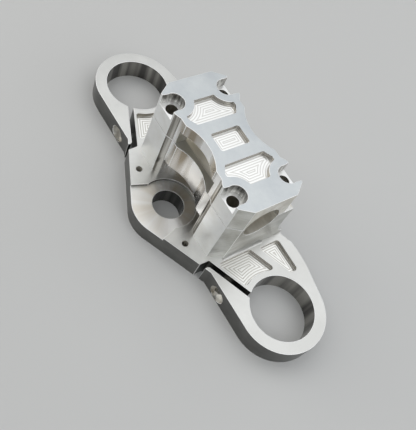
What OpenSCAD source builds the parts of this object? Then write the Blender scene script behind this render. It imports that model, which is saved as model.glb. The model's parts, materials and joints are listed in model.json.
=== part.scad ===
// Top triple clamp of a motorcycle fork, milled from one aluminium billet with
// its handlebar riser, and the clamp cap that closes over the handlebar.
// X runs from fork tube to fork tube, +Y points ahead of the bike and +Z up.
// The origin is the steering stem axis at the underside of the plate.

/* [Fork clamps] */
// Distance between the two fork tubes, centre to centre
fork_spacing = 214; // [206:1:230]
// How far the fork tubes sit ahead of the steering stem
fork_offset = 33; // [31:0.5:35]
// Bore that grips each fork tube
fork_bore_d = 50; // [47:0.5:52]
// Wall of the clamp ring around each fork bore
ring_wall = 9.1; // [8:0.1:10]
// Width of the split that lets a clamp close
slot_w = 4; // [3:0.1:4.5]
// Angle between the long leg of the split and the line through the forks
slot_angle = 24; // [23:0.5:25]
// Distance of the bend of the split from the centre of its fork bore, across
slot_bend_in = 52.2; // [51:0.1:53]
// Distance of the bend of the split behind the centre of its fork bore
slot_bend_back = 31.7; // [31:0.1:32]
// Clearance hole for the pinch screw through the ear
pinch_hole_d = 6.6; // [6.4:0.1:7]
// Core hole for the pinch screw thread in the body
pinch_core_d = 5; // [4.8:0.1:5.2]
// Counterbore that takes the head of the pinch screw
pinch_head_d = 12.8; // [12:0.1:13]
// Thickness of ear left under the head of the pinch screw
pinch_seat = 5; // [4:0.5:6]
// Depth of the threaded core hole behind the split
pinch_core_depth = 20; // [16:1:24]
// Distance along the split from its bend to the pinch screw
pinch_along = 17.5; // [16:0.5:19]
// Height of the pinch screw above the underside
pinch_z = 6.8; // [6.7:0.1:8]
// Radius of the corner of the ear at the bend of the split
ear_corner_r = 3; // [1.5:0.5:3.5]

/* [Plate] */
// Thickness of the plate at the fork clamps
plate_h = 17.5; // [16:0.5:20]
// Radius of the rounded nose around the steering stem
nose_r = 27.7; // [26:0.1:29]
// Angle of the straight edges that run from the nose to the clamp ears
nose_edge_angle = 25.7; // [25:0.1:26.5]
// Distance from the steering stem to the straight front edge of the plate
front_edge = 68.5; // [66:0.5:71]
// Half width of the straight front edge
front_edge_half_w = 58; // [56:0.5:60]
// Half width of the plate at its front shoulders
shoulder_half_w = 72; // [70:0.5:74]
// Radius that rounds each front shoulder
shoulder_r = 9; // [6:0.5:11]
// Angle of the edge from a shoulder to its clamp ring
shoulder_edge_angle = 11.6; // [11:0.1:12.5]
// Radius of the rounding along the top of each shoulder edge
shoulder_round = 8; // [5:0.5:9]
// Length over which that rounding runs out towards the clamp ring
shoulder_round_run = 34; // [28:1:38]

/* [Steering stem] */
// Hole for the steering stem
stem_bore_d = 24.2; // [22:0.1:26]
// Radius of the lowered seat for the stem nut
seat_r = 21; // [19:0.5:23]
// Depth of the lowered seat below the top of the plate
seat_depth = 2.5; // [1.5:0.1:3.5]
// Angle at which the sides of the seat open towards the nose
seat_flare = 17.6; // [15:0.1:20]
// Distance of each small threaded hole from the middle
aux_hole_x = 34.1; // [32:0.1:35]
// Distance of the small threaded holes behind the steering stem
aux_hole_back = 6.5; // [5.5:0.1:7.5]
// Core hole of the small threads
aux_hole_d = 5; // [4.2:0.1:5.5]
// Depth of the small threaded holes
aux_hole_depth = 12; // [8:0.5:14]

/* [Riser and cap outline] */
// Distance of the handlebar axis ahead of the steering stem
bar_y = 29.3; // [28:0.1:30]
// Height of the handlebar axis above the plate
bar_h = 42; // [40:0.5:45]
// Width of the riser and of the cap
riser_w = 111.4; // [108:0.2:114]
// Distance of the rear face of the bosses behind the handlebar axis
boss_back = 26.3; // [26:0.1:27]
// Distance of the front face of the bosses ahead of the handlebar axis
boss_ahead = 29.7; // [29:0.1:30.5]
// Cut of the rear outer corners, across
rear_corner_x = 6.8; // [6:0.1:8]
// Cut of the rear outer corners, lengthwise
rear_corner_y = 9.8; // [9:0.1:11]
// Cut of the front outer corners, across
front_corner_x = 7.1; // [6:0.1:8]
// Cut of the front outer corners, lengthwise
front_corner_y = 9.6; // [9:0.1:11]
// Width of a boss, from its end of the riser to its inner side
boss_w = 25.3; // [24.8:0.1:25.8]
// Width of the slanted step between a boss and its shoulder
step_w = 4.8; // [4.2:0.1:5.4]
// How far the shoulder lies inside the rear face of a boss
rear_step = 2.3; // [1.8:0.1:2.8]
// How far the shoulder lies inside the front face of a boss
front_step = 3.4; // [3:0.1:4]
// Width of the flat shoulder between the step and the rear waist
rear_flat_w = 6.5; // [6:0.1:7]
// Distance of the hollow of the rear waist behind the handlebar axis
rear_waist_y = 18.2; // [17.8:0.1:19]
// Width of the flat shoulder between the step and the front waist
front_flat_w = 6.4; // [5.9:0.1:6.9]
// Distance of the hollow of the front waist ahead of the handlebar axis
front_waist_y = 19.8; // [19:0.1:20.5]

/* [Handlebar clamp] */
// Diameter of the handlebar
bar_d = 28.6; // [28:0.1:29]
// Height of the cap above the handlebar axis
cap_h = 24; // [23:0.5:26]
// Gap between riser and cap when the screws are not tightened
parting_gap = 0.3; // [0.2:0.1:0.5]
// Distance of the cap screws from the ends of the riser
screw_end = 16.15; // [15.65:0.05:16.65]
// Distance between the cap screws, lengthwise
screw_spacing_y = 43.9; // [43:0.1:44.5]
// How far the middle of the four cap screws lies ahead of the handlebar axis
screw_ahead = 1.4; // [1:0.1:1.7]
// Clearance hole for each cap screw
screw_hole_d = 9; // [8.4:0.1:9.4]
// Counterbore that takes the head of each cap screw
screw_head_d = 14.4; // [13.6:0.1:14.8]
// Depth of the counterbores in the cap
screw_head_depth = 8.5; // [8:0.5:10]
// Core hole of the cap screw thread in the riser
screw_core_d = 6.8; // [6.5:0.1:7]
// Depth of the threaded core holes in the riser
screw_core_depth = 26; // [20:1:30]
// Widening of each counterbore towards its open side
slot_flare = 1; // [0.5:0.1:1.2]
// Distance of the window under the middle of the cap from the ends of the cap
window_end = 33.7; // [33.2:0.1:34.6]

/* [Cap pockets] */
// Depth of the weight saving pockets in the top of the cap
cap_pocket_depth = 3; // [2:0.1:4]
// Radius in the corners of the cap pockets
cap_pocket_r = 2; // [1.5:0.1:2.5]
// Radius in the tips of the outer cap pockets
cap_tip_r = 1.2; // [1:0.1:1.2]
// Half width of the middle pocket
mid_pocket_half_w = 7.6; // [7:0.1:8]
// Distance of the middle pocket behind the handlebar axis
mid_pocket_back = 11.6; // [11:0.1:12.5]
// Distance of the middle pocket ahead of the handlebar axis
mid_pocket_ahead = 12.6; // [12:0.1:13.5]
// Width of the rib beside the middle pocket
cap_rib = 9.6; // [9:0.1:10.5]
// Distance of the outer pockets from the ends of the cap
side_pocket_end = 19.3; // [18:0.1:20.5]
// Distance of the outer pockets behind the handlebar axis
side_pocket_back = 19.5; // [18.5:0.1:20]
// Distance of the outer pockets ahead of the handlebar axis
side_pocket_ahead = 21; // [20:0.1:21.5]
// Slanted corner of the outer pockets beside the waists, across
side_pocket_slant_x = 6; // [4:0.1:7]
// Slanted corner of the outer pockets beside the waists, lengthwise
side_pocket_slant_y = 3.7; // [3:0.1:4.5]
// Wall left between an outer pocket and the counterbores
side_pocket_wall = 6.6; // [5.8:0.1:7.4]

/* [Riser foot] */
// Radius of the hollow sweep from the front of the riser to the plate
front_sweep_r = 20; // [16:0.5:22]
// Radius of the hollow between the ends of the riser and the plate
end_sweep_r = 2; // [1:0.1:2.5]
// Height of the stem nut recess above the plate
recess_h = 18.5; // [16:0.5:20]
// Radius of the stem nut recess around the steering stem
recess_r = 26; // [25:0.1:26.5]

/* [Plate pockets] */
// Depth of the pockets between the riser and the fork clamps
plate_pocket_depth = 3.2; // [2:0.1:4]
// Radius in the corners of the plate pockets
plate_pocket_r = 2.2; // [1.5:0.1:3]
// Flat left between the foot of the riser and the pockets
plate_pocket_gap = 0.4; // [0.2:0.1:1]
// Wall left between a pocket and its fork bore
plate_pocket_ring = 4.6; // [4:0.1:6]
// Wall left between a pocket and the split
plate_pocket_rim = 1.8; // [1.5:0.1:2.5]
// Width of the slanted rib between the two pockets of a side
plate_rib = 5.3; // [4.5:0.1:6]
// Distance of the end of the slanted rib behind the fork line, at the riser
plate_rib_y = 4; // [3:0.1:5]
// Distance of the front wall of the front pocket ahead of the fork line
plate_pocket_ahead = 29.8; // [29:0.1:30.5]
// Half width at which the front pocket ends
front_pocket_end = 87.2; // [86:0.1:89]

/* [Hidden] */

// Amount by which a cut reaches past the face that it opens
past = 1;
// Amount by which a long cut reaches past the whole part
far = 200;
// Amount by which a round wall stands out of the straight wall that it runs into
lap = 0.05;
// Scale by which a rounding piece reaches past its own corner
corner_over = 1.06;
// Scale by which a rounding circle crosses the edges that it joins
seam = 1.002;
fork_x = fork_spacing / 2;
ring_r = fork_bore_d / 2 + ring_wall;
ear_y = fork_offset - ring_r;
part_z = plate_h + bar_h;
top_z = part_z + cap_h;
riser_x = riser_w / 2;
rear_y = bar_y - boss_back;
front_y = bar_y + boss_ahead;
rear_step_y = rear_y + rear_step;
front_step_y = front_y - front_step;
seat_z = plate_h - seat_depth;
slot_bend = [fork_x - slot_bend_in, fork_offset - slot_bend_back];
slot_dir = [cos(slot_angle), sin(slot_angle)];
slot_side = [-sin(slot_angle), cos(slot_angle)];
pinch_at = slot_bend + pinch_along * slot_dir;
pocket_x = riser_x + end_sweep_r + plate_pocket_gap;
end_sweep_l = boss_back + boss_ahead - rear_corner_y - front_corner_y;
screw_x = riser_x - screw_end;
rear_screw_y = bar_y + screw_ahead - screw_spacing_y / 2;
front_screw_y = bar_y + screw_ahead + screw_spacing_y / 2;
boss_inner_x = riser_x - boss_w;
step_inner_x = boss_inner_x - step_w;
window_half_w = riser_x - window_end;

// Radii of the waists, from the half width and the depth of their hollows
function arc_r(half_w, depth) = (pow(half_w, 2) + pow(depth, 2)) / (2 * depth);
rear_waist_r = arc_r(step_inner_x - rear_flat_w, boss_back - rear_step - rear_waist_y);
front_waist_r = arc_r(step_inner_x - front_flat_w, boss_ahead - front_step - front_waist_y);

// Corners of the right half of the plate, from the nose to the front edge
fork_at = [fork_x, fork_offset];
nose_n = [sin(nose_edge_angle), -cos(nose_edge_angle)];
nose_end = (nose_r - lap) * nose_n;
ear_line = ear_y + lap;
ear_corner = [(nose_r - lap - nose_n[1] * ear_line) / nose_n[0], ear_line];
shoulder_n = [sin(shoulder_edge_angle), cos(shoulder_edge_angle)];
ring_end = fork_at + (ring_r - lap) * shoulder_n;
shoulder_y = fork_offset
    + (ring_r - lap - shoulder_n[0] * (shoulder_half_w - fork_x)) / shoulder_n[1];
shoulder = [shoulder_half_w, shoulder_y];
front_edge_end = [front_edge_half_w, front_edge];

$fn = 96;

// Unit vector from point a to point b
function heading(a, b) = (b - a) / norm(b - a);

// What lies between a corner and a rounding circle; start and end are where the circle meets the edges
module rounding_piece(middle, r, start, corner, end) {
    difference() {
        polygon([for (p = [middle, start, corner, end]) middle + corner_over * (p - middle)]);
        translate(middle) circle(r * seam);
    }
}

// Piece that rounds the corner b between the points a and c with radius r:
// taken away it rounds an outer corner, added it fills an inner one
module corner_piece(a, b, c, r) {
    u = heading(b, a);
    v = heading(b, c);
    half = acos(u * v) / 2;
    middle = b + (r / sin(half)) * (u + v) / norm(u + v);
    reach = r / tan(half);
    rounding_piece(middle, r, b + reach * u, b, b + reach * v);
}

// Piece that rounds the tip between a circle and the line that runs from p towards it;
// inward points from the line into the pocket that has the tip
module tip_piece(p, towards, inward, ring_at, ring, r) {
    line_to_ring = p - ring_at;
    tip_run = -line_to_ring * towards
        - sqrt(pow(line_to_ring * towards, 2) - line_to_ring * line_to_ring + pow(ring, 2));
    inner_to_ring = line_to_ring + r * inward;
    run = -inner_to_ring * towards
        - sqrt(pow(inner_to_ring * towards, 2) - inner_to_ring * inner_to_ring + pow(ring + r, 2));
    middle = p + r * inward + run * towards;
    rounding_piece(middle, r, middle - r * inward, p + tip_run * towards,
        middle + r * heading(middle, ring_at));
}

// Polygon whose corners are all rounded outwards with the same radius
module rounded_polygon(points, r) {
    n = len(points);
    difference() {
        polygon(points);
        for (i = [0 : n - 1])
            corner_piece(points[(i + n - 1) % n], points[i], points[(i + 1) % n], r);
    }
}

// Closed outline made of the points of its right half and their mirror image
function both_halves(points) = concat(points,
    [for (i = [len(points) - 1 : -1 : 0]) [-points[i][0], points[i][1]]]);

// The children and their mirror image on the other side of the bike
module both_sides() {
    children();
    mirror([1, 0, 0]) children();
}

// Outline of the whole plate, seen from above
module plate_outline() {
    difference() {
        polygon(both_halves([nose_end, ear_corner, [fork_x, ear_line], fork_at,
            ring_end, shoulder, front_edge_end]));
        both_sides() corner_piece(ring_end, shoulder, front_edge_end, shoulder_r);
    }
    circle(nose_r);
    both_sides() {
        translate(fork_at) circle(ring_r);
        corner_piece(shoulder, front_edge_end, [0, front_edge], shoulder_r);
    }
}

// The split of one fork clamp: a long leg into the bore and a short way out
module split() {
    ear_tip = slot_w / 2 * [1, -(1 - slot_dir[1]) / slot_dir[0]];
    translate(slot_bend) {
        circle(d = slot_w);
        rotate(slot_angle) translate([0, -slot_w / 2]) square([slot_bend_in, slot_w]);
        translate([-slot_w / 2, -slot_bend_back]) square([slot_w, slot_bend_back]);
        corner_piece(ear_tip + slot_dir, ear_tip, ear_tip - [0, 1], ear_corner_r);
    }
}

// Screw hole across the split: head in the ear, thread in the body
module pinch_screw() {
    translate([pinch_at[0], pinch_at[1], pinch_z]) rotate(slot_angle) {
        rotate([90, 0, 0]) cylinder(d = pinch_hole_d, h = ring_r);
        translate([0, -slot_w / 2 - pinch_seat, 0])
            rotate([90, 0, 0]) cylinder(d = pinch_head_d, h = ring_r);
        rotate([-90, 0, 0]) cylinder(d = pinch_core_d, h = slot_w / 2 + pinch_core_depth);
    }
}

// Lowered seat around the steering stem, open towards the nose
module stem_seat() {
    flare = [cos(seat_flare), -sin(seat_flare)];
    circle(seat_r);
    both_sides() polygon([[0, 0], seat_r * flare,
        seat_r * flare + 2 * nose_r * [-flare[1], -flare[0]], [0, -2 * nose_r]]);
}

// Rear pocket between riser, ring and split
module rear_plate_pocket() {
    start = [pocket_x, fork_offset + plate_rib_y];
    rim = slot_bend + (slot_w / 2 + plate_pocket_rim) * slot_side;
    rim_start = rim + (pocket_x - rim[0]) / slot_dir[0] * slot_dir;
    ring = fork_bore_d / 2 + plate_pocket_ring;
    difference() {
        rounded_polygon([start, rim_start, rim_start + slot_bend_in * slot_dir,
            start + slot_bend_in * slot_dir], plate_pocket_r);
        translate(fork_at) circle(ring);
        tip_piece(start, slot_dir, -slot_side, fork_at, ring, plate_pocket_r);
        tip_piece(rim_start, slot_dir, slot_side, fork_at, ring, plate_pocket_r);
    }
}

// Front pocket between riser, ring and shoulder edge
module front_plate_pocket() {
    start_x = pocket_x + plate_pocket_r;
    start_y = fork_offset + plate_rib_y + (plate_rib + plate_pocket_r * slot_dir[1]) / slot_dir[0];
    back_y = fork_offset + plate_pocket_ahead;
    end_y = start_y + (front_pocket_end - start_x) * tan(slot_angle);
    rounded_polygon([[start_x, start_y], [front_pocket_end, end_y],
        [front_pocket_end, back_y], [start_x, back_y]], plate_pocket_r);
}

// Cutter that rounds the top of a shoulder edge and runs out towards the ring
module shoulder_rounding() {
    translate([shoulder[0], shoulder[1], plate_h]) rotate(-shoulder_edge_angle)
        translate([-shoulder_round, 0, 0]) rotate([0, -asin(shoulder_round / shoulder_round_run), 0])
        difference() {
            translate([0, -shoulder_round, -shoulder_round])
                cube([shoulder_round_run + shoulder_round, 2 * shoulder_round, 3 * shoulder_round]);
            translate([-past, lap - shoulder_round, lap - shoulder_round]) rotate([0, 90, 0])
                cylinder(r = shoulder_round, h = shoulder_round_run + shoulder_round + 2 * past);
        }
}

// Outline shared by the riser and the cap, seen from above
module riser_outline() {
    difference() {
        polygon(both_halves([
            [step_inner_x, rear_step_y],
            [boss_inner_x, rear_y],
            [riser_x - rear_corner_x, rear_y],
            [riser_x, rear_y + rear_corner_y],
            [riser_x, front_y - front_corner_y],
            [riser_x - front_corner_x, front_y],
            [boss_inner_x, front_y],
            [step_inner_x, front_step_y]]));
        translate([0, bar_y - rear_waist_y - rear_waist_r]) circle(rear_waist_r);
        translate([0, bar_y + front_waist_y + front_waist_r]) circle(front_waist_r);
    }
}

// Side view of the riser: straight at the rear, a hollow sweep at the front
module riser_side_profile() {
    difference() {
        translate([rear_y - past, 0]) square([front_edge - rear_y + past, part_z]);
        translate([front_y + front_sweep_r, plate_h + front_sweep_r]) circle(front_sweep_r);
        translate([front_y, plate_h + front_sweep_r]) square([far, far]);
        translate([front_y + front_sweep_r, plate_h]) square([far, far]);
    }
}

// Hollow sweep of the foot between one end of the riser and the plate
module end_sweep() {
    difference() {
        translate([riser_x - past, plate_h - past]) square([end_sweep_r + past, end_sweep_r + past]);
        translate([riser_x + end_sweep_r, plate_h + end_sweep_r]) circle(end_sweep_r);
    }
}

// Body of the riser with its swept foot
module riser_body() {
    translate([0, 0, plate_h - past]) linear_extrude(bar_h + past) riser_outline();
    intersection() {
        translate([-riser_x, 0, 0]) rotate([90, 0, 90]) linear_extrude(riser_w) riser_side_profile();
        linear_extrude(part_z) difference() {
            translate([-riser_x, bar_y]) square([riser_w, front_edge - bar_y]);
            translate([0, bar_y + front_waist_y + front_waist_r]) circle(front_waist_r);
        }
    }
    both_sides() translate([0, front_y - front_corner_y, 0]) rotate([90, 0, 0])
        linear_extrude(end_sweep_l) end_sweep();
}

// The four places of the cap screws, seen from above
module at_cap_screws() {
    for (x = [-screw_x, screw_x], y = [rear_screw_y, front_screw_y])
        translate([x, y, 0]) children();
}

// Handlebar bore from end to end
module bar_bore() {
    translate([0, bar_y, part_z]) rotate([0, 90, 0])
        cylinder(d = bar_d, h = riser_w + 2 * past, center = true);
}

// Room for the stem nut and its socket under the rear of the riser
module stem_nut_recess() {
    translate([0, 0, plate_h]) linear_extrude(recess_h) {
        circle(recess_r);
        translate([-recess_r, -far]) square([2 * recess_r, far]);
    }
}

// Middle pocket in the top of the cap
module middle_cap_pocket() {
    back_y = bar_y - mid_pocket_back;
    ahead_y = bar_y + mid_pocket_ahead;
    rounded_polygon([[-mid_pocket_half_w, back_y], [mid_pocket_half_w, back_y],
        [mid_pocket_half_w, ahead_y], [-mid_pocket_half_w, ahead_y]], cap_pocket_r);
}

// Outer pocket in the top of the cap, hollowed around the two counterbores
module side_cap_pocket() {
    inner_x = mid_pocket_half_w + cap_rib;
    back_y = bar_y - side_pocket_back;
    ahead_y = bar_y + side_pocket_ahead;
    slant_x = inner_x + side_pocket_slant_x;
    end_x = riser_x - side_pocket_end;
    ring = screw_head_d / 2 + side_pocket_wall;
    difference() {
        rounded_polygon([[inner_x, back_y + side_pocket_slant_y], [slant_x, back_y],
            [end_x, back_y], [end_x, ahead_y],
            [slant_x, ahead_y], [inner_x, ahead_y - side_pocket_slant_y]], cap_pocket_r);
        for (y = [-1, 1]) {
            screw_at = [screw_x, y < 0 ? rear_screw_y : front_screw_y];
            translate(screw_at) circle(ring);
            tip_piece([slant_x, y < 0 ? back_y : ahead_y], [1, 0], [0, -y], screw_at, ring, cap_tip_r);
            tip_piece([end_x, bar_y], [0, y], [-1, 0], screw_at, ring, cap_tip_r);
        }
    }
}

// Slot that opens the counterbore of a cap screw through the face of its boss;
// reach is the signed distance from the screw to past that face
module screw_slot(reach) {
    root = screw_head_d / 2 - slot_flare / 2;
    polygon([[-root, 0], [root, 0], [root + slot_flare, reach], [-root - slot_flare, reach]]);
}

module yoke() {
    color("silver") difference() {
        union() {
            linear_extrude(plate_h) plate_outline();
            riser_body();
        }
        bar_bore();
        stem_nut_recess();
        translate([0, 0, seat_z]) linear_extrude(plate_h) intersection() {
            stem_seat();
            union() {
                circle(recess_r);
                translate([-far / 2, -far]) square([far, far]);
            }
        }
        translate([0, 0, -past]) cylinder(d = stem_bore_d, h = plate_h + 2 * past);
        both_sides() {
            translate([fork_x, fork_offset, -past]) cylinder(d = fork_bore_d, h = plate_h + 2 * past);
            translate([0, 0, -past]) linear_extrude(plate_h + 2 * past) split();
            pinch_screw();
            shoulder_rounding();
            translate([0, 0, plate_h - plate_pocket_depth]) linear_extrude(plate_h) {
                rear_plate_pocket();
                front_plate_pocket();
            }
            translate([aux_hole_x, -aux_hole_back, plate_h - aux_hole_depth])
                cylinder(d = aux_hole_d, h = plate_h);
        }
        at_cap_screws() translate([0, 0, part_z - screw_core_depth])
            cylinder(d = screw_core_d, h = screw_core_depth + past);
    }
}

module handlebar_clamp_cap() {
    color("gainsboro") difference() {
        translate([0, 0, part_z + parting_gap]) linear_extrude(cap_h - parting_gap) riser_outline();
        bar_bore();
        translate([-window_half_w, rear_y - past, part_z - past])
            cube([2 * window_half_w, front_y - rear_y + 2 * past, bar_d / 2 + past]);
        at_cap_screws() {
            translate([0, 0, part_z - past]) cylinder(d = screw_hole_d, h = cap_h + 2 * past);
            translate([0, 0, top_z - screw_head_depth])
                cylinder(d = screw_head_d, h = screw_head_depth + past);
        }
        both_sides() translate([screw_x, 0, top_z - screw_head_depth])
            linear_extrude(screw_head_depth + past) {
                translate([0, rear_screw_y]) screw_slot(rear_y - rear_screw_y - past);
                translate([0, front_screw_y]) screw_slot(front_y - front_screw_y + past);
            }
        translate([0, 0, top_z - cap_pocket_depth]) linear_extrude(cap_pocket_depth + past) {
            middle_cap_pocket();
            both_sides() side_cap_pocket();
        }
    }
}

yoke();
handlebar_clamp_cap();
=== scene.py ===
import json
import math

import bmesh
import bpy
from mathutils import Matrix, Vector

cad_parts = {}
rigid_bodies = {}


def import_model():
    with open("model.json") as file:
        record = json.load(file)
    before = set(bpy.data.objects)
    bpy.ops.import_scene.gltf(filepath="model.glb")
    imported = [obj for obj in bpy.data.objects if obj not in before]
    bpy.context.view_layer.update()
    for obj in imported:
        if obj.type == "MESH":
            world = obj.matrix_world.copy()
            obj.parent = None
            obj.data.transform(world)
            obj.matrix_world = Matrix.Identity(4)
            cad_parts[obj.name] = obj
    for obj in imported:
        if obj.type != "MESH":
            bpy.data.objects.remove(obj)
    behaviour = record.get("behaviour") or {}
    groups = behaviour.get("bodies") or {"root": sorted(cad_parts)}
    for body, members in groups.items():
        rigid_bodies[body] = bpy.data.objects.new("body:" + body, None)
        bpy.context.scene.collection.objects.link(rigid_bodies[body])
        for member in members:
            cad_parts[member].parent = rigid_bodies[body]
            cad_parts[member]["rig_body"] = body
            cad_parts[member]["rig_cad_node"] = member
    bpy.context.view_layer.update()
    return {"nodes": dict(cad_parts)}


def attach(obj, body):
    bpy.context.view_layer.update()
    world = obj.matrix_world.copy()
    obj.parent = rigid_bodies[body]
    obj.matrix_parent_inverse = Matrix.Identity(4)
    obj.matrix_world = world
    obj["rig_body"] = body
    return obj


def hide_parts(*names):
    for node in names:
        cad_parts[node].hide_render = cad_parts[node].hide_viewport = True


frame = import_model()

# Millimetre, as the sizes below are written
MM = 0.001

# Places on the part, in millimetres from the steering stem axis at the underside of the plate
PLATE_TOP = 17.5
SEAT = 15.0
PLATE_POCKET_FLOOR = 14.3
BAR_Y = 29.3
PARTING = 59.5
CAP_TOP = 83.5
CAP_POCKET_FLOOR = 80.5
COUNTERBORE_FLOOR = 75.0
RISER_END = 55.7
CORNER_X = 48.0
BOSS_INNER_X = 30.4
STEP_INNER_X = 25.6
FORK_X = 107.0
FORK_Y = 33.0
FORK_BORE_R = 25.0
RING_R = 34.1
STEM_BORE_R = 12.1
BAR_BORE_R = 14.3
CAP_SCREW_X = 39.55
CAP_SCREW_Y = {"rear": 8.75, "front": 52.65}
BOSS_FACE_Y = {"rear": 3.0, "front": 59.0}
SCREW_HEAD_R = 7.2
SCREW_HOLE_R = 4.5
TAPPED_R = 3.4
ACCESSORY_X = 34.1
ACCESSORY_Y = -6.5
ACCESSORY_R = 2.5
PINCH_AT = (70.79, 8.42, 6.8)
PINCH_HEAD_R = 6.4
SPLIT_W = 4.0
SHOULDER = (72.0, 73.0)
SHOULDER_ROUND = 8.0

# Walls of the pockets, seen from above
MIDDLE_POCKET_X = 7.6
MIDDLE_POCKET_BACK = 11.6
MIDDLE_POCKET_AHEAD = 12.6
SIDE_POCKET_X = 17.2
SIDE_POCKET_END = 36.4
SIDE_POCKET_BACK = 19.5
SIDE_POCKET_AHEAD = 21.0
SIDE_POCKET_WALL = 6.6
SPLIT_ANGLE = 24.0
PLATE_POCKET_X = 58.1
PLATE_POCKET_RING = 29.6
REAR_POCKET_RIB = (58.1, 37.0)
REAR_POCKET_RIM = (53.25, 4.77)
FRONT_POCKET_RIB = (60.3, 43.8)
FRONT_POCKET_FAR = (87.2, 62.8)

# Slack, in millimetres, for a face that lies a little off the surface it belongs to
SLACK = 0.3
TIGHT_SLACK = 0.2
ABOVE_PLATE = 0.1

# Reach of the zones, in millimetres
MIDDLE_ZONE_X = MIDDLE_POCKET_X + 1
SLOT_ZONE_HALF = SCREW_HEAD_R + 1
SLOT_ZONE_END = RISER_END - 1
COUNTERBORE_ZONE_R = SCREW_HEAD_R + 2
CAP_POCKETS_X = 38
CAP_POCKETS_Y = 21.2
PLATE_POCKETS_Y = (8, 64)
RIB_ZONE = 3
SHOULDER_ZONE_X = SHOULDER[0] - SHOULDER_ROUND
SHOULDER_ZONE_Y = SHOULDER[1] - 3 * SHOULDER_ROUND

# Turn of the faces of a zone, as a part of their normals
LOOKS_UP = 0.9
NOT_LEVEL = 0.99
WALL_TILT = 0.3
BORE_TILT = 0.5
STEP_TURN = 0.2
CORNER_TURN = (0.3, 0.98)
ROUND_TURN = 0.05

# Clean copies: distance in millimetres within which corners are merged, turn in degrees below
# which faces are merged, and turn in degrees below which they are shaded as one surface
SAME_CORNER = 0.002
SAME_FACE = 0.4
SMOOTH_TURN = 35

# Distance between two rows on a pocket floor, and the tones between the rows and on them
FLOOR_PITCH = 1.9
CAP_FLOOR_TONES = ((0.70, 0.69, 0.66), (0.97, 0.97, 0.95))
PLATE_FLOOR_TONES = ((0.52, 0.50, 0.46), (0.86, 0.86, 0.83))

# Outer edges broken by the deburring tool, in millimetres: width of the break, least width of
# the faces beside an edge, least length of an edge, and distance at which corners merge
# afterwards. Then least turn between the faces in degrees, and number of strips in a break.
EDGE_BREAK = 0.35
EDGE_ROOM = 0.8
EDGE_SHORTEST = 0.5
EDGE_WELD = 0.1
EDGE_TURN = 28
EDGE_SEGMENTS = 2

# Threads: pitch and length in millimetres, start below the mouth, steps to a turn, and the
# depth and half the height of the ridge as parts of the pitch
CAP_SCREW_THREAD = (1.25, 24)
ACCESSORY_THREAD = (1.0, 10)
THREAD_START = 0.6
THREAD_STEPS = 20
THREAD_DEPTH = 0.4
THREAD_HALF = 0.44

# Floor and lamps, in metres: side of the floor, distances from the stem axis between which it
# turns into the studio wall, and the place that the lamps face
FLOOR_SIZE = 8
FLOOR_FADE = (0.6, 1.8)
WALL_COLOUR = (0.62, 0.625, 0.63, 1)
LAMP_TARGET = (0, 0.03, 0.03)

# Camera of the photograph: place in millimetres, axes, lens and image in pixels, width of the
# sensor in millimetres, and range of sight in metres
CAMERA_AT = (154.536, -201.387, 385.388)
CAMERA_RIGHT = (0.51563, 0.80239, 0.30048)
CAMERA_UP = (-0.80372, 0.33143, 0.49416)
CAMERA_BACK = (0.29692, -0.49630, 0.81580)
FOCAL_PIXELS = 606.2
IMAGE_WIDTH = 416
IMAGE_HEIGHT = 430
SENSOR = 36.0
SIGHT = (0.02, 50)


def deselect_all():
    """Nothing stays selected, so an operator acts only on its own piece."""
    if bpy.context.mode != "OBJECT":
        bpy.ops.object.mode_set(mode="OBJECT")
    bpy.ops.object.select_all(action="DESELECT")


def make_active(obj):
    """Selects one piece and makes it the active one."""
    deselect_all()
    obj.select_set(True)
    bpy.context.view_layer.objects.active = obj


def apply_modifier(obj, kind, **settings):
    """Adds a modifier with these settings and applies it."""
    make_active(obj)
    modifier = obj.modifiers.new(kind.lower(), kind)
    for name, value in settings.items():
        setattr(modifier, name, value)
    bpy.ops.object.modifier_apply(modifier=modifier.name)


def clean_copy(node, name):
    """A copy of a CAD node with its triangles merged into whole faces."""
    source = frame["nodes"][node]
    obj = source.copy()
    obj.data = source.data.copy()
    obj.name = name
    obj.data.name = name
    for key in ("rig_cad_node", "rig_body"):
        if key in obj:
            del obj[key]
    obj.parent = None
    bpy.context.scene.collection.objects.link(obj)
    make_active(obj)
    bpy.ops.object.mode_set(mode="EDIT")
    bpy.ops.mesh.select_all(action="SELECT")
    bpy.ops.mesh.remove_doubles(threshold=SAME_CORNER * MM)
    bpy.ops.mesh.customdata_custom_splitnormals_clear()
    bpy.ops.mesh.dissolve_limited(angle_limit=math.radians(SAME_FACE))
    bpy.ops.mesh.select_all(action="DESELECT")
    bpy.ops.object.mode_set(mode="OBJECT")
    return obj


def room_beside(edge, face):
    """Width of a face straight away from the middle of one of its edges."""
    corner = next(loop for loop in edge.link_loops if loop.face == face)
    start, end = corner.vert.co, corner.link_loop_next.vert.co
    middle = (start + end) / 2
    along = (end - start).normalized()
    inward = face.normal.cross(along)
    room = math.inf
    for other in face.edges:
        first, second = (vert.co - middle for vert in other.verts)
        before, after = first.dot(along), second.dot(along)
        if other == edge or before * after > 0 or before == after:
            continue
        share = before / (before - after)
        reach = first.dot(inward) * (1 - share) + second.dot(inward) * share
        if reach > SAME_CORNER / 2 * MM:
            room = min(room, reach)
    return room


def mark_outer_edges(obj):
    """Marks the sharp outer edges that have room for a break on both sides."""
    shape = bmesh.new()
    shape.from_mesh(obj.data)
    mark = shape.edges.layers.float.new("bevel_weight_edge")
    for edge in shape.edges:
        sharp = edge.calc_face_angle_signed() > math.radians(EDGE_TURN)
        if not sharp or edge.calc_length() < EDGE_SHORTEST * MM:
            continue
        if all(room_beside(edge, face) > EDGE_ROOM * MM for face in edge.link_faces):
            edge[mark] = 1.0
    shape.to_mesh(obj.data)
    shape.free()


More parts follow.
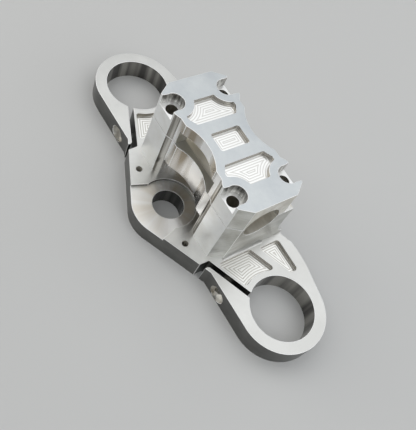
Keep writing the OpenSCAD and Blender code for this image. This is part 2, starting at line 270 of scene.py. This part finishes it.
def break_edges(obj):
    """Breaks the outer edges with a small rounded chamfer, coloured near white as a painted
    highlight.
    """
    mark_outer_edges(obj)
    # The new faces of the break take the near white painted highlight colour.
    apply_modifier(obj, "BEVEL", width=EDGE_BREAK * MM, segments=EDGE_SEGMENTS,
                   limit_method="WEIGHT", miter_outer="MITER_SHARP",
                   material=sorted(FINISHES).index("bright_edge"), use_clamp_overlap=False,
                   harden_normals=False)
    apply_modifier(obj, "WELD", merge_threshold=EDGE_WELD * MM)
    make_active(obj)
    bpy.ops.object.shade_smooth_by_angle(angle=math.radians(SMOOTH_TURN))
    apply_modifier(obj, "WEIGHTED_NORMAL", mode="FACE_AREA", weight=50, keep_sharp=True)


class Finish:
    """A material under construction, with short ways to add and link nodes."""

    def __init__(self, name, colour, roughness, metallic=1.0):
        self.material = bpy.data.materials.new(name)
        self.material.use_nodes = True
        self.nodes = self.material.node_tree.nodes
        self.links = self.material.node_tree.links
        self.shader = self.nodes["Principled BSDF"]
        self.shader.inputs["Base Color"].default_value = (*colour, 1)
        self.shader.inputs["Roughness"].default_value = roughness
        self.shader.inputs["Metallic"].default_value = metallic
        self.place = self.nodes.new("ShaderNodeTexCoord").outputs["Object"]

    def add(self, kind, inputs=None, **settings):
        """A node with its settings, and its inputs given as values or as outputs of other nodes."""
        node = self.nodes.new(kind)
        for name, value in settings.items():
            setattr(node, name, value)
        for name, value in (inputs or {}).items():
            if isinstance(value, bpy.types.NodeSocket):
                self.links.new(value, node.inputs[name])
            else:
                node.inputs[name].default_value = value
        return node

    def math(self, operation, first, second=0.0):
        """Result of an operation on two values."""
        return self.add("ShaderNodeMath", {0: first, 1: second}, operation=operation).outputs[0]

    def vector(self, operation, first, second, output=0):
        """Result of an operation on two vectors."""
        node = self.add("ShaderNodeVectorMath", {0: first, 1: second}, operation=operation)
        return node.outputs[output]

    def turned(self, scale=(1, 1, 1), rotation=(0, 0, 0), at=(0, 0, 0)):
        """Object coordinates stretched and turned about a point."""
        shifted = self.vector("SUBTRACT", self.place, at)
        turn = self.add("ShaderNodeMapping", {"Vector": shifted, "Rotation": rotation,
                                              "Scale": scale})
        return turn.outputs["Vector"]

    def noise(self, vector, scale, detail=4.0, roughness=0.55):
        """Noise value over a vector."""
        node = self.add("ShaderNodeTexNoise", {"Vector": vector, "Scale": scale, "Detail": detail,
                                               "Roughness": roughness})
        return node.outputs["Fac"]

    def rows(self, vector, pitch, direction="Y", distortion=0.3, kind="BANDS"):
        """Even rows of cutter marks, a pitch apart in millimetres."""
        node = self.add("ShaderNodeTexWave", {"Vector": vector, "Scale": math.pi / 10 / (pitch * MM),
                                              "Distortion": distortion, "Detail": 2.0,
                                              "Detail Scale": 1.5}, wave_type=kind)
        if kind == "BANDS":
            node.bands_direction = direction
        else:
            node.rings_direction = direction
        return node.outputs["Fac"]

    def plan(self):
        """Place seen from above, with the left half folded on to the right half."""
        split = self.add("ShaderNodeSeparateXYZ", {"Vector": self.place})
        across = self.math("ABSOLUTE", split.outputs["X"])
        return self.add("ShaderNodeCombineXYZ", {"X": across, "Y": split.outputs["Y"]}).outputs[0]

    def from_wall(self, plan, point, angle):
        """Distance to the left of a straight wall that runs through a point at an angle."""
        turn = math.radians(angle)
        offset = self.vector("SUBTRACT", plan, (point[0] * MM, point[1] * MM, 0))
        return self.vector("DOT_PRODUCT", offset, (-math.sin(turn), math.cos(turn), 0), "Value")

    def from_ring(self, plan, centre, radius):
        """Distance outside a round wall."""
        reach = self.vector("DISTANCE", plan, (centre[0] * MM, centre[1] * MM, 0), "Value")
        return self.math("SUBTRACT", reach, radius * MM)

    def nested(self, distances, pitch):
        """Rows that follow the nearest wall, as a cutter does that works outwards."""
        nearest = distances[0]
        for other in distances[1:]:
            nearest = self.math("MINIMUM", nearest, other)
        wobble = self.math("MULTIPLY", self.noise(self.place, 300.0, 2.0), 0.12 * pitch * MM)
        wave = self.math("SINE", self.math("MULTIPLY", self.math("ADD", nearest, wobble),
                                           2 * math.pi / (pitch * MM)))
        return self.math("ADD", self.math("MULTIPLY", wave, 0.5), 0.5)

    def ramp(self, value, low, high, start=0.0, end=1.0):
        """Value moved into the range from low to high."""
        node = self.add("ShaderNodeMapRange", {"Value": value, "From Min": start, "From Max": end,
                                               "To Min": low, "To Max": high})
        return node.outputs["Result"]

    def blend(self, value, first, second):
        """Colour between first and second."""
        node = self.add("ShaderNodeMix", data_type="RGBA")
        self.links.new(value, node.inputs[0])
        node.inputs[6].default_value = (*first, 1)
        node.inputs[7].default_value = (*second, 1)
        return node.outputs[2]

    def relief(self, parts):
        """Bumps stacked from pairs of height value and depth in millimetres."""
        normal = None
        for height, depth in parts:
            bump = self.add("ShaderNodeBump", {"Height": height, "Distance": depth * MM,
                                               "Strength": 1.0})
            if normal is not None:
                self.links.new(normal, bump.inputs["Normal"])
            normal = bump.outputs["Normal"]
        self.links.new(normal, self.shader.inputs["Normal"])

    def colour(self, socket):
        """Base colour from a pattern."""
        self.links.new(socket, self.shader.inputs["Base Color"])

    def roughness(self, socket):
        """Roughness from a pattern."""
        self.links.new(socket, self.shader.inputs["Roughness"])


def cap_top_finish():
    """Satin top of the cap with soft clouds from handling."""
    f = Finish("satin cap top", (0.63, 0.66, 0.67), 0.42)
    clouds = f.noise(f.place, 45.0, 6.0, 0.62)
    grain = f.noise(f.turned((1, 5, 1)), 1400.0, 2.0)
    f.colour(f.blend(f.ramp(clouds, 0, 1, 0.32, 0.68), (0.54, 0.57, 0.59), (0.71, 0.74, 0.745)))
    f.roughness(f.ramp(clouds, 0.34, 0.5, 0.3, 0.7))
    f.relief([(grain, 0.006)])
    return f.material


def plate_top_finish():
    """Face milled top of the plate with faint sweeps of a wide cutter."""
    f = Finish("face milled plate", (0.70, 0.69, 0.67), 0.36)
    sweeps = f.rows(f.turned(at=(0.02, -0.12, 0)), 1.4, "Z", 0.2, "RINGS")
    clouds = f.noise(f.place, 34.0, 5.0)
    f.colour(f.blend(f.ramp(clouds, 0, 1, 0.32, 0.68), (0.58, 0.58, 0.56), (0.75, 0.75, 0.725)))
    f.roughness(f.ramp(clouds, 0.28, 0.44, 0.3, 0.7))
    f.relief([(sweeps, 0.004)])
    return f.material


def stem_seat_finish():
    """Turned seat around the steering stem, with a pale tone that is painted light against the
    riser's shade and streaks by angle round the axis that are painted reflections.
    """
    f = Finish("turned stem seat", (0.95, 0.94, 0.91), 0.4)
    f.shader.inputs["Anisotropic"].default_value = 0.75
    tangent = f.add("ShaderNodeTangent", direction_type="RADIAL", axis="Z")
    f.links.new(tangent.outputs["Tangent"], f.shader.inputs["Tangent"])
    around = f.vector("NORMALIZE", f.vector("MULTIPLY", f.place, (1, 1, 0)), (0, 0, 0))
    streaks = f.noise(around, 1.4, 3.0)
    # Painted light: the pale tone lifts the seat out of the riser's shade, and the streaks by angle
    # are painted reflections.
    f.colour(f.blend(f.ramp(streaks, 0, 1, 0.35, 0.6), (0.84, 0.80, 0.73), (0.99, 0.99, 0.98)))
    rings = f.rows(f.place, 1.1, "Z", 0.15, "RINGS")
    f.relief([(rings, 0.006)])
    return f.material


def pocket_floor(f, rows, tones):
    """Pale floor with relief and tone from its rows."""
    fine = f.noise(f.place, 900.0, 2.0)
    f.colour(f.blend(f.ramp(rows, 0, 1, 0.0, 0.6), *tones))
    f.relief([(rows, 0.06), (fine, 0.008)])
    return f.material


def middle_pocket_finish():
    """Floor of the middle cap pocket, milled in nested rectangles."""
    f = Finish("middle cap pocket floor", (0.85, 0.85, 0.84), 0.34)
    plan = f.plan()
    low, high = BAR_Y - MIDDLE_POCKET_BACK, BAR_Y + MIDDLE_POCKET_AHEAD
    return pocket_floor(f, f.nested([f.from_wall(plan, (MIDDLE_POCKET_X, low), 90),
                                     f.from_wall(plan, (0, low), 0),
                                     f.from_wall(plan, (0, high), 180)], FLOOR_PITCH),
                        CAP_FLOOR_TONES)


def side_pocket_finish():
    """Floor of an outer cap pocket, milled in rows that follow its walls."""
    f = Finish("outer cap pocket floor", (0.85, 0.85, 0.84), 0.34)
    plan = f.plan()
    walls = [f.from_wall(plan, (SIDE_POCKET_X, BAR_Y), -90),
             f.from_wall(plan, (SIDE_POCKET_END, BAR_Y), 90),
             f.from_wall(plan, (0, BAR_Y - SIDE_POCKET_BACK), 0),
             f.from_wall(plan, (0, BAR_Y + SIDE_POCKET_AHEAD), 180)]
    for screw_y in CAP_SCREW_Y.values():
        walls.append(f.from_ring(plan, (CAP_SCREW_X, screw_y), SCREW_HEAD_R + SIDE_POCKET_WALL))
    return pocket_floor(f, f.nested(walls, FLOOR_PITCH), CAP_FLOOR_TONES)


def rear_plate_pocket_finish():
    """Floor of the rear plate pocket, between riser, rib, split and ring."""
    f = Finish("rear plate pocket floor", (0.80, 0.80, 0.77), 0.34)
    plan = f.plan()
    return pocket_floor(f, f.nested([f.from_wall(plan, (PLATE_POCKET_X, 0), -90),
                                     f.from_wall(plan, REAR_POCKET_RIB, 180 + SPLIT_ANGLE),
                                     f.from_wall(plan, REAR_POCKET_RIM, SPLIT_ANGLE),
                                     f.from_ring(plan, (FORK_X, FORK_Y), PLATE_POCKET_RING)],
                                    FLOOR_PITCH), PLATE_FLOOR_TONES)


def front_plate_pocket_finish():
    """Floor of the front plate pocket, between riser, rib and shoulder."""
    f = Finish("front plate pocket floor", (0.80, 0.80, 0.77), 0.34)
    plan = f.plan()
    return pocket_floor(f, f.nested([f.from_wall(plan, FRONT_POCKET_RIB, -90),
                                     f.from_wall(plan, FRONT_POCKET_RIB, SPLIT_ANGLE),
                                     f.from_wall(plan, FRONT_POCKET_FAR, 90),
                                     f.from_wall(plan, FRONT_POCKET_FAR, 180)], FLOOR_PITCH),
                        PLATE_FLOOR_TONES)


def pocket_wall_finish():
    """Brown grey wall of a pocket, with a step for each pass of the cutter."""
    f = Finish("pocket walls", (0.46, 0.43, 0.39), 0.32)
    steps = f.rows(f.place, 1.05, "Z", 0.2)
    f.colour(f.blend(f.ramp(steps, 0, 1, 0.3, 0.7), (0.16, 0.14, 0.12), (0.72, 0.69, 0.63)))
    f.relief([(steps, 0.05)])
    return f.material


def side_wall_finish():
    """Side milled outline of the plate, with fine upright marks and a mark at each depth, coloured
    very dark grey as painted shade.
    """
    f = Finish("side milled walls with painted shade", (0.40, 0.40, 0.39), 0.3)
    marks = f.noise(f.turned((1, 1, 0.05)), 800.0, 3.0)
    depths = f.rows(f.place, 4.4, "Z", 0.1)
    clouds = f.noise(f.place, 60.0, 3.0)
    # Painted shade: the walls are darkened to stand in for dark surroundings seen in them; the
    # clouds vary the tone at random.
    f.colour(f.blend(f.ramp(clouds, 0, 1, 0.3, 0.7), (0.14, 0.14, 0.135), (0.20, 0.20, 0.19)))
    f.relief([(marks, 0.01), (depths, 0.012)])
    return f.material


def waist_finish():
    """Waist walls of the riser and cap, with painted reflections: upright bands from dark warm grey
    to near white.
    """
    f = Finish("milled waist with painted reflections", (0.84, 0.82, 0.78), 0.22)
    marks = f.noise(f.turned((1, 1, 0.03)), 500.0, 2.0)
    clouds = f.noise(f.turned((1, 1, 0.1)), 75.0, 2.0)
    # Painted reflections: the stretched clouds set upright dark and bright bands in the colour.
    f.colour(f.blend(f.ramp(clouds, 0, 1, 0.42, 0.6), (0.38, 0.33, 0.26), (0.97, 0.97, 0.97)))
    f.roughness(f.ramp(clouds, 0.16, 0.3, 0.35, 0.65))
    f.relief([(marks, 0.012)])
    return f.material


def boss_face_finish():
    """Rear and front faces of the bosses, coloured near white as a painted reflection of the lit
    plate, with soft clouds of tone.
    """
    f = Finish("bright boss faces", (0.95, 0.96, 0.96), 0.4)
    marks = f.noise(f.turned((1, 1, 0.04)), 700.0, 2.0)
    clouds = f.noise(f.place, 60.0, 5.0)
    # Painted reflection: the near white colour stands in for the lit plate seen in these faces; the
    # clouds vary it at random.
    f.colour(f.blend(f.ramp(clouds, 0, 1, 0.35, 0.65), (0.88, 0.88, 0.86), (0.98, 0.99, 0.99)))
    f.relief([(marks, 0.006)])
    return f.material


def painted_edge_highlight_finish():
    """Near white colour of the edge breaks and the shoulder rounding: a painted highlight."""
    return Finish("broken edges", (0.98, 0.98, 0.97), 0.45).material


def bored_finish(name, axis, dark, bright, roughness):
    """Bored hole with fine rings round its axis and soft streaks along it."""
    f = Finish(name, bright, roughness)
    along = tuple(0.04 if axis == letter else 1 for letter in "XYZ")
    streaks = f.noise(f.turned(along), 110.0, 2.0)
    rings = f.rows(f.place, 0.5, axis, 0.3)
    f.colour(f.blend(f.ramp(streaks, 0, 1, 0.42, 0.62), dark, bright))
    f.relief([(rings, 0.01)])
    return f.material


def step_finish():
    """Darker slanted steps beside the waists, with a few upright passes."""
    f = Finish("slanted steps", (0.5, 0.49, 0.46), 0.2)
    passes = f.noise(f.turned((1, 1, 0.03)), 260.0, 2.0)
    f.colour(f.blend(f.ramp(passes, 0, 1, 0.42, 0.6), (0.16, 0.15, 0.13), (0.72, 0.70, 0.66)))
    f.relief([(passes, 0.01)])
    return f.material


def counterbore_finish():
    """Dark wall of a counterbore and its slot, with the upright chatter of a long cutter."""
    f = Finish("counterbore walls", (0.40, 0.38, 0.34), 0.3)
    chatter = f.noise(f.turned((1, 1, 0.15)), 520.0, 2.0)
    steps = f.rows(f.place, 1.3, "Z", 0.5)
    marks = f.math("MULTIPLY", f.ramp(chatter, 0.3, 1, 0.4, 0.6), f.ramp(steps, 0.4, 1))
    f.colour(f.blend(marks, (0.14, 0.13, 0.12), (0.95, 0.94, 0.90)))
    f.relief([(chatter, 0.05), (steps, 0.05)])
    return f.material


def riser_end_finish():
    """Riser end with the slightly tilted passes of a ball mill."""
    f = Finish("fan milled riser end", (0.66, 0.65, 0.62), 0.32)
    fans = f.rows(f.turned(rotation=(math.radians(-7), 0, 0)), 2.6, "Z", 0.5)
    clouds = f.noise(f.turned((1, 0.35, 1)), 90.0, 4.0)
    f.colour(f.blend(f.ramp(clouds, 0, 1, 0.32, 0.68), (0.48, 0.47, 0.43), (0.76, 0.76, 0.73)))
    f.relief([(fans, 0.12)])
    return f.material


FINISHES = {
    "cap_top": cap_top_finish(),
    "plate_top": plate_top_finish(),
    "stem_seat": stem_seat_finish(),
    "middle_pocket": middle_pocket_finish(),
    "side_pocket": side_pocket_finish(),
    "rear_pocket": rear_plate_pocket_finish(),
    "front_pocket": front_plate_pocket_finish(),
    "pocket_wall": pocket_wall_finish(),
    "side_wall": side_wall_finish(),
    "waist": waist_finish(),
    "boss_face": boss_face_finish(),
    "step": step_finish(),
    "counterbore": counterbore_finish(),
    "bright_edge": painted_edge_highlight_finish(),
    "screw_hole": bored_finish("screw holes", "Z", (0.55, 0.52, 0.46), (0.97, 0.96, 0.92), 0.42),
    # The fork bores and the stem bore are coloured dark as painted shade inside the holes.
    "fork_bore": bored_finish("fork bores", "Z", (0.12, 0.115, 0.11), (0.42, 0.41, 0.38), 0.16),
    "stem_bore": bored_finish("stem bore", "Z", (0.05, 0.05, 0.05), (0.16, 0.16, 0.15), 0.2),
    "bar_bore": bored_finish("handlebar bore", "X", (0.78, 0.75, 0.68), (0.96, 0.94, 0.88), 0.42),
    "riser_end": riser_end_finish(),
}


def near(value, target):
    """True where a height is that of a floor."""
    return abs(value - target) < TIGHT_SLACK


def is_wall(normal, tilt=WALL_TILT):
    """True for an upright face."""
    return abs(normal.z) < tilt


def is_floor_at(z, normal, height):
    """True for a face that looks up at a height."""
    return normal.z > LOOKS_UP and near(z, height)


def distance(x, y, centre):
    """Distance between two places in one plane."""
    return math.hypot(x - centre[0], y - centre[1])


def from_cap_screw(x, y):
    """Distance to the axis of the nearest cap screw."""
    return min(distance(x, y, (CAP_SCREW_X, screw_y)) for screw_y in CAP_SCREW_Y.values())


def is_step(x, normal):
    """True on the slanted steps between the bosses and the waists."""
    return STEP_INNER_X < x < BOSS_INNER_X and is_wall(normal) and abs(normal.x) > STEP_TURN


def is_corner_cut(x, normal):
    """True on the slanted corners at the ends of the riser and of the cap."""
    low, high = CORNER_TURN
    return x > CORNER_X and low < abs(normal.x) < high and is_wall(normal)


def in_slot(x, y, z):
    """True in the open counterbores, away from the faces of the bosses."""
    across = abs(x - CAP_SCREW_X) < SLOT_ZONE_HALF and x < SLOT_ZONE_END
    between = BOSS_FACE_Y["rear"] + SLACK < y < BOSS_FACE_Y["front"] - SLACK
    return across and between and z > COUNTERBORE_FLOOR


def cap_zone(centre, normal):
    """Finish of a face of the cap, from its place in millimetres."""
    x, y, z = abs(centre.x), centre.y, centre.z
    if distance(y, z, (BAR_Y, PARTING)) < BAR_BORE_R + SLACK:
        return "bar_bore"
    if is_floor_at(z, normal, CAP_TOP):
        return "cap_top"
    if is_floor_at(z, normal, CAP_POCKET_FLOOR):
        return "middle_pocket" if x < MIDDLE_ZONE_X else "side_pocket"
    if is_floor_at(z, normal, COUNTERBORE_FLOOR):
        return "boss_face"
    if from_cap_screw(x, y) < SCREW_HOLE_R + SLACK:
        return "screw_hole"
    if in_slot(x, y, z):
        return "counterbore" if from_cap_screw(x, y) < COUNTERBORE_ZONE_R else "pocket_wall"
    in_pocket = z > CAP_POCKET_FLOOR and x < CAP_POCKETS_X and abs(y - BAR_Y) < CAP_POCKETS_Y
    if is_wall(normal) and in_pocket:
        return "pocket_wall"
    if is_step(x, normal):
        return "step"
    if is_wall(normal) and x < BOSS_INNER_X:
        return "waist"
    if x > RISER_END - SLACK or is_corner_cut(x, normal):
        return "riser_end"
    return "boss_face"


def yoke_zone(centre, normal):
    """Finish of a face of the yoke, from its place in millimetres."""
    x, y, z = abs(centre.x), centre.y, centre.z
    if distance(y, z, (BAR_Y, PARTING)) < BAR_BORE_R + SLACK:
        return "bar_bore"
    if distance(x, y, (FORK_X, FORK_Y)) < FORK_BORE_R + SLACK and is_wall(normal, BORE_TILT):
        return "fork_bore"
    if distance(x, y, (0, 0)) < STEM_BORE_R + SLACK and z < SEAT:
        return "stem_bore"
    if from_cap_screw(x, y) < TAPPED_R + SLACK:
        return "screw_hole"
    if distance(x, y, (ACCESSORY_X, ACCESSORY_Y)) < ACCESSORY_R + SLACK:
        return "screw_hole"
    in_head = from_pinch_screw(x, y, z) < PINCH_HEAD_R + TIGHT_SLACK and in_ear(x, y)
    if in_head and is_wall(normal, NOT_LEVEL):
        return "screw_hole"
    # The rounding of the shoulder takes the edge colour, a painted highlight.
    if is_shoulder_round(x, y, normal):
        return "bright_edge"
    if is_floor_at(z, normal, SEAT) and x < RISER_END:
        return "stem_seat"
    if is_floor_at(z, normal, PLATE_POCKET_FLOOR) and x > RISER_END:
        return "rear_pocket" if is_rear_pocket(x, y) else "front_pocket"
    low, high = PLATE_POCKETS_Y
    in_pocket = PLATE_POCKET_FLOOR < z < PLATE_TOP and x > RISER_END and low < y < high
    if is_wall(normal, BORE_TILT) and in_pocket:
        return "pocket_wall"
    if z > PLATE_TOP and is_step(x, normal):
        return "step"
    if is_wall(normal) and z > PLATE_TOP and x < BOSS_INNER_X:
        return "waist"
    at_end = x > RISER_END - SLACK or is_corner_cut(x, normal)
    if z > PLATE_TOP + ABOVE_PLATE and at_end:
        return "riser_end"
    if is_wall(normal) and z > PLATE_TOP:
        return "boss_face"
    if is_wall(normal) and z < PLATE_TOP:
        return "side_wall"
    return "plate_top"


def from_pinch_screw(x, y, z):
    """Distance to the axis of the pinch screw."""
    turn = math.radians(SPLIT_ANGLE)
    along = (x - PINCH_AT[0]) * math.cos(turn) + (y - PINCH_AT[1]) * math.sin(turn)
    return math.hypot(along, z - PINCH_AT[2])


def in_ear(x, y):
    """True behind the split, away from its walls and from the outline of the ear."""
    turn = math.radians(SPLIT_ANGLE)
    across = (y - PINCH_AT[1]) * math.cos(turn) - (x - PINCH_AT[0]) * math.sin(turn)
    return across < -SPLIT_W / 2 - SLACK and y > FORK_Y - RING_R + SLACK


def is_shoulder_round(x, y, normal):
    """True on the rounding along the top of a shoulder edge."""
    slants = ROUND_TURN < normal.z < NOT_LEVEL
    return slants and x > SHOULDER_ZONE_X and y > SHOULDER_ZONE_Y


def is_rear_pocket(x, y):
    """True behind the slanted rib of the plate."""
    slope = math.tan(math.radians(SPLIT_ANGLE))
    return y < REAR_POCKET_RIB[1] + RIB_ZONE + (x - REAR_POCKET_RIB[0]) * slope


def dress(obj, zone):
    """Gives every face of a piece the finish of its zone."""
    names = sorted(FINISHES)
    obj.data.materials.clear()
    for name in names:
        obj.data.materials.append(FINISHES[name])
    for face in obj.data.polygons:
        face.material_index = names.index(zone(face.center / MM, face.normal))


def thread(name, radius, pitch, length, at):
    """Helical ridge of an upright tapped hole, from its mouth down."""
    deselect_all()
    bpy.ops.mesh.primitive_plane_add(size=1)
    obj = bpy.context.object
    obj.name = name
    obj.data.name = name
    make_active(obj)
    bpy.ops.object.mode_set(mode="EDIT")
    bpy.ops.mesh.select_all(action="SELECT")
    bpy.ops.mesh.merge(type="COLLAPSE")
    half = pitch * THREAD_HALF * MM
    depth = pitch * THREAD_DEPTH * MM
    bpy.ops.transform.translate(value=(radius * MM, 0, -half))
    bpy.ops.mesh.extrude_region_move(TRANSFORM_OT_translate={"value": (-depth, 0, half)})
    bpy.ops.mesh.extrude_region_move(TRANSFORM_OT_translate={"value": (depth, 0, half)})
    bpy.ops.object.mode_set(mode="OBJECT")
    turns = length / pitch
    apply_modifier(obj, "SCREW", axis="Z", angle=-turns * 2 * math.pi, screw_offset=-length * MM,
                   steps=int(turns * THREAD_STEPS), render_steps=int(turns * THREAD_STEPS),
                   use_merge_vertices=True, use_smooth_shade=True)
    obj.data.materials.append(FINISHES["screw_hole"])
    obj.data.transform(Matrix.Translation(Vector(at) * MM))
    make_active(obj)
    bpy.ops.object.mode_set(mode="EDIT")
    bpy.ops.mesh.select_all(action="SELECT")
    bpy.ops.mesh.normals_make_consistent(inside=False)
    bpy.ops.object.mode_set(mode="OBJECT")
    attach(obj, "root")


def floor_finish():
    """Pale matt floor that turns into the studio wall far from the part."""
    f = Finish("pale floor", (0.62, 0.62, 0.61), 0.9, metallic=0.0)
    f.shader.inputs["Specular IOR Level"].default_value = 0.15
    reach = f.vector("DISTANCE", f.place, (0, 0, 0), "Value")
    rays = f.add("ShaderNodeLightPath").outputs
    seen = f.math("MAXIMUM", rays["Is Camera Ray"],
                  f.math("MAXIMUM", rays["Is Glossy Ray"], rays["Is Transmission Ray"]))
    fade = f.math("MULTIPLY", f.ramp(reach, 0, 1, *FLOOR_FADE), seen)
    wall = f.add("ShaderNodeEmission", {"Color": WALL_COLOUR, "Strength": 1.0})
    mix = f.add("ShaderNodeMixShader", {0: fade, 1: f.shader.outputs["BSDF"],
                                        2: wall.outputs["Emission"]})
    f.links.new(mix.outputs["Shader"], f.nodes["Material Output"].inputs["Surface"])
    return f.material


def floor():
    """Pale floor under the part."""
    deselect_all()
    bpy.ops.mesh.primitive_plane_add(size=FLOOR_SIZE, location=(0, 0, 0))
    obj = bpy.context.object
    obj.name = "floor"
    obj.data.materials.append(floor_finish())


def softbox(name, at, size, power, colour=(1, 1, 1)):
    """Area lamp that faces the part."""
    data = bpy.data.lights.new(name, "AREA")
    data.shape = "RECTANGLE"
    data.size, data.size_y = size
    data.energy = power
    data.color = colour
    lamp = bpy.data.objects.new(name, data)
    lamp.location = at
    lamp.rotation_mode = "QUATERNION"
    lamp.rotation_quaternion = (Vector(at) - Vector(LAMP_TARGET)).to_track_quat("Z", "Y")
    lamp.visible_camera = False
    bpy.context.scene.collection.objects.link(lamp)


def camera():
    """Camera at the photograph's place and angle."""
    data = bpy.data.cameras.new("camera")
    data.sensor_width = SENSOR
    data.lens = FOCAL_PIXELS * SENSOR / max(IMAGE_WIDTH, IMAGE_HEIGHT)
    data.clip_start, data.clip_end = SIGHT
    obj = bpy.data.objects.new("camera", data)
    axes = Matrix((CAMERA_RIGHT, CAMERA_UP, CAMERA_BACK)).transposed()
    obj.matrix_world = Matrix.Translation(Vector(CAMERA_AT) * MM) @ axes.to_4x4()
    bpy.context.scene.collection.objects.link(obj)
    bpy.context.scene.camera = obj


def world(stops):
    """Studio walls from pairs of height and grey: light low down, dark above, light overhead."""
    sky = bpy.data.worlds.new("studio")
    sky.use_nodes = True
    nodes, links = sky.node_tree.nodes, sky.node_tree.links
    direction = nodes.new("ShaderNodeTexCoord").outputs["Generated"]
    height = nodes.new("ShaderNodeSeparateXYZ")
    links.new(direction, height.inputs["Vector"])
    levels = nodes.new("ShaderNodeValToRGB")
    links.new(height.outputs["Z"], levels.inputs["Fac"])
    while len(levels.color_ramp.elements) < len(stops):
        levels.color_ramp.elements.new(0.5)
    for element, (place, level) in zip(levels.color_ramp.elements, stops):
        element.position = place
        element.color = (level * 0.96, level * 0.98, level, 1)
    links.new(levels.outputs["Color"], nodes["Background"].inputs["Color"])
    bpy.context.scene.world = sky


yoke = clean_copy("yoke", "machined_yoke")
dress(yoke, yoke_zone)
break_edges(yoke)
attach(yoke, "root")
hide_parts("yoke")

cap = clean_copy("handlebar_clamp_cap", "machined_cap")
dress(cap, cap_zone)
break_edges(cap)
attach(cap, "root")
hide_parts("handlebar_clamp_cap")

for side, side_name in ((1, "right"), (-1, "left")):
    for end_name, screw_y in CAP_SCREW_Y.items():
        thread(f"cap_screw_thread_{side_name}_{end_name}", TAPPED_R, *CAP_SCREW_THREAD,
               (side * CAP_SCREW_X, screw_y, PARTING - THREAD_START))
    thread(f"accessory_thread_{side_name}", ACCESSORY_R, *ACCESSORY_THREAD,
           (side * ACCESSORY_X, ACCESSORY_Y, PLATE_TOP - THREAD_START))

floor()
camera()
world([(0.0, 0.66), (0.14, 0.56), (0.3, 0.06), (0.5, 0.12), (0.66, 0.58), (0.85, 0.90)])
softbox("key softbox", (-0.25, 0.62, 1.0), (1.5, 0.8), 1.85)
softbox("left softbox", (-1.1, -0.6, 0.7), (1.3, 1.2), 6.2, (1.0, 0.97, 0.92))
softbox("right softbox", (1.1, 0.2, 0.8), (0.8, 0.8), 2.6, (0.94, 0.97, 1.0))
softbox("front softbox", (0.3, 1.2, 0.3), (1.0, 0.3), 1.6, (0.95, 0.97, 1.0))
bpy.context.scene.view_settings.view_transform = "Standard"
